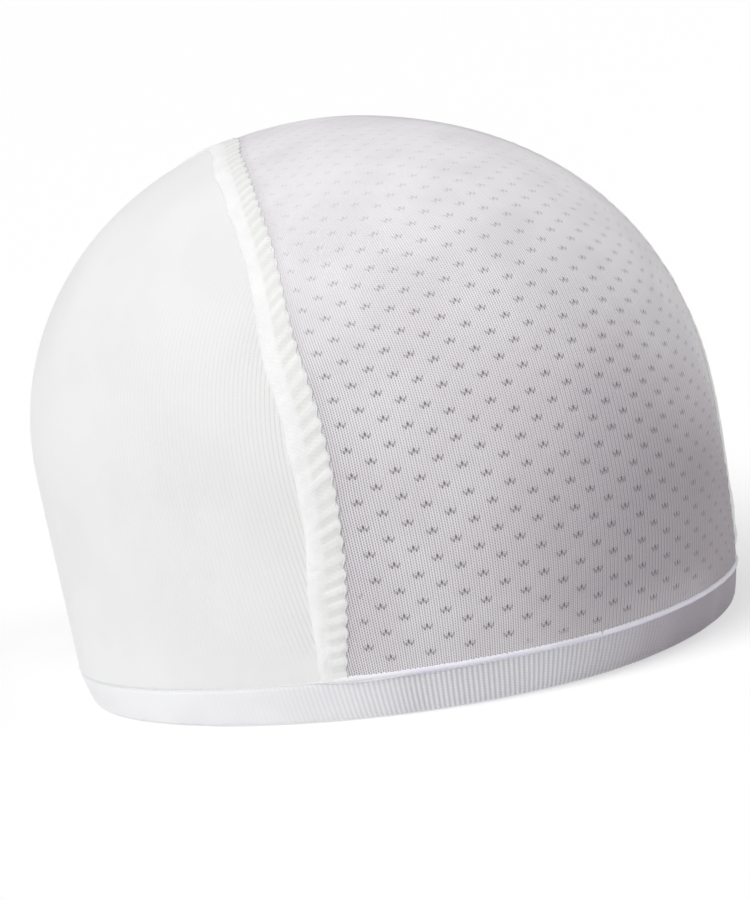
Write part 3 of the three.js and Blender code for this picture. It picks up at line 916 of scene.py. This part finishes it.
def rung_places(at, over):
    """Where the overlocking's rungs cross a seam: close at the rim, wider apart higher up."""
    places = [1.2]
    while places[-1] < at[-1] - 2:
        pitch = RUNG_PITCH * (1 + 0.22 * smooth(np.interp(places[-1], at, over) / 45))
        places.append(places[-1] + pitch * (1 + 0.06 * rng.normal()))
    return np.array(places)


def seam_height(sign, over):
    """A seam's height along its length: pressed flatter at the rim and over the crown."""
    at_crown = 0.5 if sign < 0 else 0.35
    return mix(0.25, 1.0, fade(over, 0, 4.5)) * mix(1.0, at_crown, fade(over, 32, 72))


def lumps(at, wavelength, size):
    """An irregular swing along a seam, with bumps about one wavelength apart."""
    knots = np.arange(0, at[-1] + 2 * wavelength, wavelength / 2)
    return size * np.interp(at, knots, rng.normal(size=len(knots)))


def tube(path, radius, sides, squash):
    """Points and faces of a tube with closed ends along a path of points."""
    ahead = unit(np.gradient(path, axis=0))
    side = unit(np.cross(ahead, unit(path - DOME_CENTRE)))
    up = np.cross(side, ahead)
    turn = 2 * math.pi * np.arange(sides) / sides
    ring = np.cos(turn)[None, :, None] * side[:, None] + squash * np.sin(turn)[None, :, None] * up[:, None]
    points = path[:, None] + np.reshape(radius, (-1, 1, 1)) * ring
    faces = grid_faces(len(path), sides, loop_columns=True)
    faces.append(tuple(range(sides)))
    faces.append(tuple((len(path) - 1) * sides + k for k in reversed(range(sides))))
    return points.reshape(-1, 3), [tuple(reversed(f)) for f in faces]


# Fold profile. Shares of the tape's width towards the side panel, heights in millimetres,
# and how much of the rungs' scallop each point takes.
FOLD_PROFILE = (
    (0.52, -0.5, 0.0), (0.53, 0.1, 0.0), (0.5, 0.46, 0.0), (0.44, 0.82, 0.0), (0.37, 1.08, 0.0),
    (0.29, 1.22, 0.0), (0.21, 1.22, 0.0), (0.14, 1.1, 0.0), (0.08, 0.94, 0.0), (0.03, 0.84, 0.0),
    (-0.03, 0.79, 0.0), (-0.14, 0.76, 0.0), (-0.26, 0.7, 0.2), (-0.36, 0.58, 0.5), (-0.43, 0.4, 0.8),
    (-0.48, 0.18, 1.0), (-0.5, -0.02, 1.0), (-0.47, -0.4, 1.0),
)
RIDGE_FROM = 0.03          # the ridge begins at this share, and the flat allowance ends there
RUNG_RELIEF = 0.17         # the overlocking's rungs stand this proud of the allowance


def seam_fold(name, sign, rungs):
    """Rolled ridge on the side panel, and beside it the flat allowance with the overlocking's rungs."""
    angle, at, width, over = seam_frame(sign, SEAM_STATIONS)
    lower = seam_height(sign, over)
    phase = 2 * math.pi * np.interp(at, rungs, np.arange(len(rungs)))
    bar = smooth(0.5 + 0.9 * np.cos(phase)) * (1 + lumps(at, 2.6, 0.25))
    steep = fade(over, 0, 45)
    tall, wide = lumps(at, 9.0, 0.1), lumps(at, 14.0, 0.25)
    fine, crumple = lumps(at, 2.4, 0.04), lumps(at, 3.6, 0.1) * fade(over, 15, 35)
    rows, flat = [], []
    for across, height, scallop in FOLD_PROFILE:
        on_ridge = smooth((across - RIDGE_FROM) / 0.12)
        slant = at + mix(0.3, 1.8, steep) * across
        bar_here = np.interp(slant, at, bar) * mix(1.0, 0.75, steep)
        slanted = np.interp(slant, at, crumple) + RUNG_RELIEF * (bar_here - 0.4)
        top = height * (1 + (tall + fine) * on_ridge) + slanted * (1 - on_ridge) * (height > 0.3)
        top = top * lower if height > 0 else top
        edge = across * width + wide * smooth((across - 0.2) / 0.3) - SCALLOP * scallop * np.cos(phase)
        rows.append(seam_points(sign, angle, edge, top))
        flat.append((1 - smooth((across - RIDGE_FROM + 0.06) / 0.1)) * (1 - 0.8 * np.clip(bar_here, 0, 1)))
    points = np.stack(rows, 1).reshape(-1, 3)
    columns = len(FOLD_PROFILE)
    faces = grid_faces(len(at), columns, loop_columns=True)
    faces += [tuple(range(columns)), tuple((len(at) - 1) * columns + k for k in reversed(range(columns)))]
    if sign > 0:
        faces = [tuple(reversed(f)) for f in faces]
    uvs = np.stack([np.repeat(at, columns), np.tile(np.arange(columns) * 0.7, len(at))], -1)
    piece = make_piece(name, points, faces, uvs, FOLD, {"flat": np.stack(flat, 1).ravel()})
    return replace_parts(piece, name.removesuffix("_fold"))


def seam_threads(name, sign, rungs):
    """Looped edge of the overlocking, thicker at each rung."""
    angle, at, width, over = seam_frame(sign, SEAM_STATIONS + 1)
    phase = 2 * math.pi * np.interp(at, rungs, np.arange(len(rungs)))
    edge = -0.47 * width - SCALLOP * np.cos(phase) + lumps(at, 2.2, 0.05)
    rise = (0.16 + 0.05 * np.sin(phase) + lumps(at, 1.8, 0.04)) * seam_height(sign, over)
    radius = np.clip(0.27 + 0.09 * np.cos(phase) + lumps(at, 1.6, 0.04), 0.12, 0.5)
    points, faces = tube(seam_points(sign, angle, edge, rise), radius, LOOP_SIDES, 0.8)
    uvs = np.stack([np.repeat(at, LOOP_SIDES), np.tile(np.arange(LOOP_SIDES) / LOOP_SIDES, len(at))], -1)
    return make_piece(name, points, faces, uvs, THREAD)


for side_name, sign in (("right", -1), ("left", 1)):
    _, seam_at, _, seam_over = seam_frame(sign, 400)
    rungs = rung_places(seam_at, seam_over)
    seam_fold(f"seam_{side_name}_fold", sign, rungs)
    seam_threads(f"seam_{side_name}_thread", sign, rungs)

# Floor, light and camera

FLOOR = 6.0                # metres from the middle to its edges
FLOOR_GREY = 0.52
FLOOR_GLOW = 0.48          # lifts the floor to white
floor_data = bpy.data.meshes.new("floor")
floor_data.from_pydata([(-FLOOR, -FLOOR, 0), (FLOOR, -FLOOR, 0), (FLOOR, FLOOR, 0), (-FLOOR, FLOOR, 0)], [],
                       [(0, 1, 2, 3)])
floor = bpy.data.objects.new("floor", floor_data)
floor.location.z = -0.0001
bpy.context.scene.collection.objects.link(floor)
floor_nodes = Nodes("floor_white", 0.9)
floor_nodes.shader.inputs["Base Color"].default_value = (FLOOR_GREY, FLOOR_GREY, FLOOR_GREY, 1)
floor_nodes.shader.inputs["Emission Color"].default_value = (1, 1, 1, 1)
floor_nodes.shader.inputs["Emission Strength"].default_value = FLOOR_GLOW
floor_data.materials.append(floor_nodes.material)


def sun(name, azimuth, elevation, strength, soft):
    """A soft far light that shines from an azimuth (0 is the forehead's side) and elevation in degrees."""
    data = bpy.data.lights.new(name, "SUN")
    data.energy = strength
    data.angle = math.radians(soft)
    lamp = bpy.data.objects.new(name, data)
    a, e = math.radians(azimuth), math.radians(elevation)
    toward = Vector((math.sin(a) * math.cos(e), -math.cos(a) * math.cos(e), math.sin(e)))
    lamp.rotation_mode = "QUATERNION"
    lamp.rotation_quaternion = toward.to_track_quat("Z", "Y")
    bpy.context.scene.collection.objects.link(lamp)


SUN_SOFTNESS = 35
SUNS = (                   # name, azimuth, elevation and strength
    ("key", -68, 50, 2.04), ("top", -45, 74, 0.63), ("front", 50, 50, 0.77), ("back", -150, 20, 0.58),
    ("side", 110, 26, 0.38),
)
for sun_name, sun_azimuth, sun_elevation, strength in SUNS:
    sun(sun_name, sun_azimuth, sun_elevation, strength, SUN_SOFTNESS)
world = bpy.data.worlds.new("studio")
world.use_nodes = True
world.node_tree.nodes["Background"].inputs["Color"].default_value = (0.95, 0.95, 1.0, 1)
world.node_tree.nodes["Background"].inputs["Strength"].default_value = 0.01
bpy.context.scene.world = world
bpy.context.scene.view_settings.view_transform = "Standard"

# The camera was fitted to the photograph: turned round and above the cap, and rolled
VIEW_AZIMUTH, VIEW_ELEVATION, VIEW_ROLL = -29.187, 10.017, 8.509
VIEW_DISTANCE = 1000.0
VIEW_RIGHT, VIEW_UP = 8.652, -45.691
LENS_PIXELS, PHOTO_HEIGHT = 4050.0, 900
azimuth, elevation, roll = (math.radians(v) for v in (VIEW_AZIMUTH, VIEW_ELEVATION, VIEW_ROLL))
back = Vector((math.sin(azimuth) * math.cos(elevation), -math.cos(azimuth) * math.cos(elevation),
               math.sin(elevation)))
level = Vector((math.cos(azimuth), math.sin(azimuth), 0))
upright = back.cross(level)
camera_right = math.cos(roll) * level - math.sin(roll) * upright
camera_up = math.sin(roll) * level + math.cos(roll) * upright
camera_data = bpy.data.cameras.new("camera")
camera_data.sensor_width = 36
camera_data.lens = LENS_PIXELS * camera_data.sensor_width / PHOTO_HEIGHT
camera_data.clip_start, camera_data.clip_end = 0.05, 50
camera = bpy.data.objects.new("camera", camera_data)
place = back * VIEW_DISTANCE - camera_right * VIEW_RIGHT - camera_up * VIEW_UP
place = Vector(to_frame(np.array(place)))
turn = Matrix((camera_right, camera_up, back)).transposed().to_4x4()
camera.matrix_world = Matrix.Translation(place) @ turn
bpy.context.scene.collection.objects.link(camera)
bpy.context.scene.camera = camera
